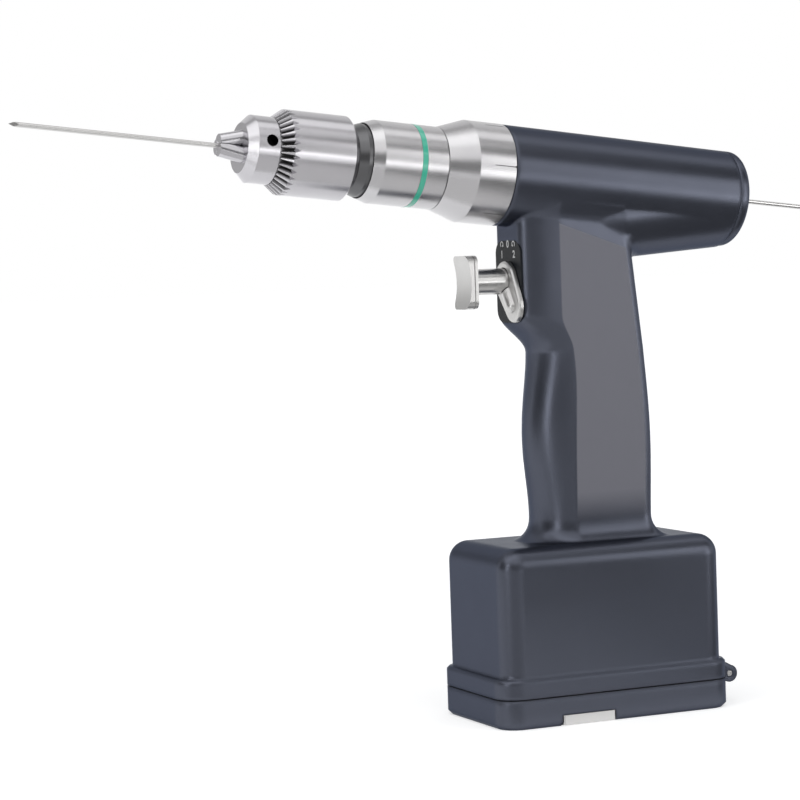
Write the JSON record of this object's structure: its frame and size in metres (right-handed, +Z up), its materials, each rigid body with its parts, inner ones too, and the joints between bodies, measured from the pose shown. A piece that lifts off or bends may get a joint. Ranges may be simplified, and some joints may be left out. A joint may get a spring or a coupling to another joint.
{
  "type": "cannulated surgical power drill",
  "caption": "Battery-powered surgical drill with a pistol grip, key-type chuck holding a guide wire, quick coupling, push trigger, direction selector and hinged battery box.",
  "frame": {"origin": "centre of the battery lid's flat underside, on which the drill stands", "axes": "+Z up, +X towards the rear of the barrel, so the chuck and the wire point to -X, and Y across the grip"},
  "size_m": [0.3479, 0.0568, 0.2305],
  "materials": {
    "casting": "satin blue-black coating",
    "blasted_steel": "bead blasted satin",
    "bright_steel": "fine turned, nearly polished",
    "chuck_steel": "polished",
    "dark_steel": "dark satin",
    "spring_steel": "drawn wire",
    "bearing_steel": "ground",
    "green_ring": "smooth enamel",
    "label": "satin dark enamel",
    "bronze": "plain",
    "lamination": "dull",
    "copper": "enamelled copper wire",
    "magnet": "nickel coated",
    "board": "glass-fibre board",
    "black_plastic": "moulded",
    "battery_wrap": "cell sleeve",
    "gold_contact": "gold plated",
    "seal": "silicone rubber",
    "aluminium": "machined"
  },
  "bodies": {
    "handpiece": {"housing": "casting", "rear_cap": "casting", "rear_cap_seal": "seal", "front_ring": "blasted_steel", "collar_clip": "spring_steel", "lock_balls": "bearing_steel", "chuck_adapter": "dark_steel", "ring_gear": "bearing_steel", "stator_core": "lamination", "stator_windings": "copper", "motor_front_plate": "aluminium", "motor_rear_plate": "aluminium", "sensor_board": "board", "guide_tube": "bright_steel", "label_plate": "label", "trigger_bush": "bronze", "trigger_spring": "spring_steel", "switch_module": "black_plastic", "hinge_pin": "bright_steel", "battery_case": "black_plastic", "battery_cells": "battery_wrap", "cell_holders": "black_plastic", "battery_terminals": "gold_contact", "contact_block": "black_plastic", "contact_pins": "gold_contact", "controller_board": "board", "adapter_front_bearing": "bearing_steel", "adapter_rear_bearing": "bearing_steel", "output_bearing": "bearing_steel", "motor_front_bearing": "bearing_steel", "motor_rear_bearing": "bearing_steel"},
    "spindle_unit": {"chuck_body": "chuck_steel", "spindle": "bright_steel", "guide_wire": "bright_steel", "planet_carrier": "bright_steel", "planet_pins": "bearing_steel"},
    "sleeve_unit": {"chuck_sleeve": "chuck_steel", "chuck_nut": "bearing_steel"},
    "jaw_one": {"jaw_1": "chuck_steel"},
    "jaw_two": {"jaw_2": "chuck_steel"},
    "jaw_three": {"jaw_3": "chuck_steel"},
    "planet_one": {"planet_gear_1": "bearing_steel"},
    "planet_two": {"planet_gear_2": "bearing_steel"},
    "planet_three": {"planet_gear_3": "bearing_steel"},
    "rotor": {"rotor_shaft": "bright_steel", "rotor_magnets": "magnet"},
    "collar": {"coupling_collar": "blasted_steel", "green_band": "green_ring"},
    "trigger": {"trigger_head": "bright_steel", "trigger_stem": "bright_steel", "trigger_stop_clip": "spring_steel"},
    "selector": {"selector_lever": "chuck_steel", "selector_clip": "spring_steel"},
    "lid": {"battery_lid": "casting", "lid_seal": "seal", "latch_spring_near": "spring_steel", "latch_spring_far": "spring_steel"},
    "near_latch": {"latch_near": "bright_steel"},
    "far_latch": {"latch_far": "bright_steel"}
  },
  "joints": [
    {"name": "spindle_spin", "type": "hinge", "parent": "handpiece", "child": "spindle_unit", "pos_m": [-0.0297, 0, 0.2049], "axis": [0.9936, 0, -0.1132], "continuous": true},
    {"name": "rotor_spin", "type": "hinge", "parent": "handpiece", "child": "rotor", "pos_m": [-0.0297, 0, 0.2049], "axis": [0.9936, 0, -0.1132], "continuous": true},
    {"name": "sleeve_turn", "type": "hinge", "parent": "spindle_unit", "child": "sleeve_unit", "pos_m": [-0.0297, 0, 0.2049], "axis": [0.9936, 0, -0.1132], "range_deg": [0, 2238]},
    {"name": "collar_release", "type": "hinge", "parent": "handpiece", "child": "collar", "pos_m": [-0.0297, 0, 0.2049], "axis": [0.9936, 0, -0.1132], "range_deg": [0, 30], "stiffness_Nm_per_rad": 0.06, "springref_deg": -28.65},
    {"name": "trigger_pull", "type": "slide", "parent": "handpiece", "child": "trigger", "axis": [1, 0, 0], "range_m": [0, 0.008], "stiffness_N_per_m": 600, "springref_m": -0.004, "deforming": ["trigger_spring"]},
    {"name": "selector_swing", "type": "hinge", "parent": "handpiece", "child": "selector", "pos_m": [-0.0275, 0, 0.1652], "axis": [1, 0, 0], "range_deg": [0, 68]},
    {"name": "lid_open", "type": "hinge", "parent": "handpiece", "child": "lid", "pos_m": [0.053, 0, 0.01115], "axis": [0, -1, 0], "range_deg": [0, 100]},
    {"name": "near_latch_press", "type": "slide", "parent": "lid", "child": "near_latch", "axis": [0, 1, 0], "range_m": [0, 0.0016], "stiffness_N_per_m": 900, "springref_m": -0.001, "deforming": ["latch_spring_near"]},
    {"name": "far_latch_press", "type": "slide", "parent": "lid", "child": "far_latch", "axis": [0, -1, 0], "range_m": [0, 0.0016], "stiffness_N_per_m": 900, "springref_m": -0.001, "deforming": ["latch_spring_far"]},
    {"name": "planet_one_spin", "type": "hinge", "parent": "spindle_unit", "child": "planet_one", "pos_m": [-0.03663, 0, 0.21475], "axis": [0.9936, 0, -0.1132], "continuous": true},
    {"name": "planet_two_spin", "type": "hinge", "parent": "spindle_unit", "child": "planet_two", "pos_m": [-0.03816, -0.00779, 0.20133], "axis": [0.9936, 0, -0.1132], "continuous": true},
    {"name": "planet_three_spin", "type": "hinge", "parent": "spindle_unit", "child": "planet_three", "pos_m": [-0.03816, 0.00779, 0.20133], "axis": [0.9936, 0, -0.1132], "continuous": true},
    {"name": "jaw_one_slide", "type": "slide", "parent": "spindle_unit", "child": "jaw_one", "axis": [0.9386, -0.1798, -0.2943], "range_m": [0, 0.0079]},
    {"name": "jaw_two_slide", "type": "slide", "parent": "spindle_unit", "child": "jaw_two", "axis": [0.9526, 0.2511, -0.1716], "range_m": [0, 0.0079]},
    {"name": "jaw_three_slide", "type": "slide", "parent": "spindle_unit", "child": "jaw_three", "axis": [0.9879, -0.0713, 0.1378], "range_m": [0, 0.0079]}
  ],
  "couplings": [
    {"joint": "rotor_spin", "follows": "spindle_spin", "ratio": 4},
    {"joint": "planet_one_spin", "follows": "spindle_spin", "ratio": -3},
    {"joint": "planet_two_spin", "follows": "spindle_spin", "ratio": -3},
    {"joint": "planet_three_spin", "follows": "spindle_spin", "ratio": -3},
    {"joint": "jaw_one_slide", "follows": "sleeve_turn", "m_per_rad": 0.00020213},
    {"joint": "jaw_two_slide", "follows": "sleeve_turn", "m_per_rad": 0.00020213},
    {"joint": "jaw_three_slide", "follows": "sleeve_turn", "m_per_rad": 0.00020213}
  ]
}
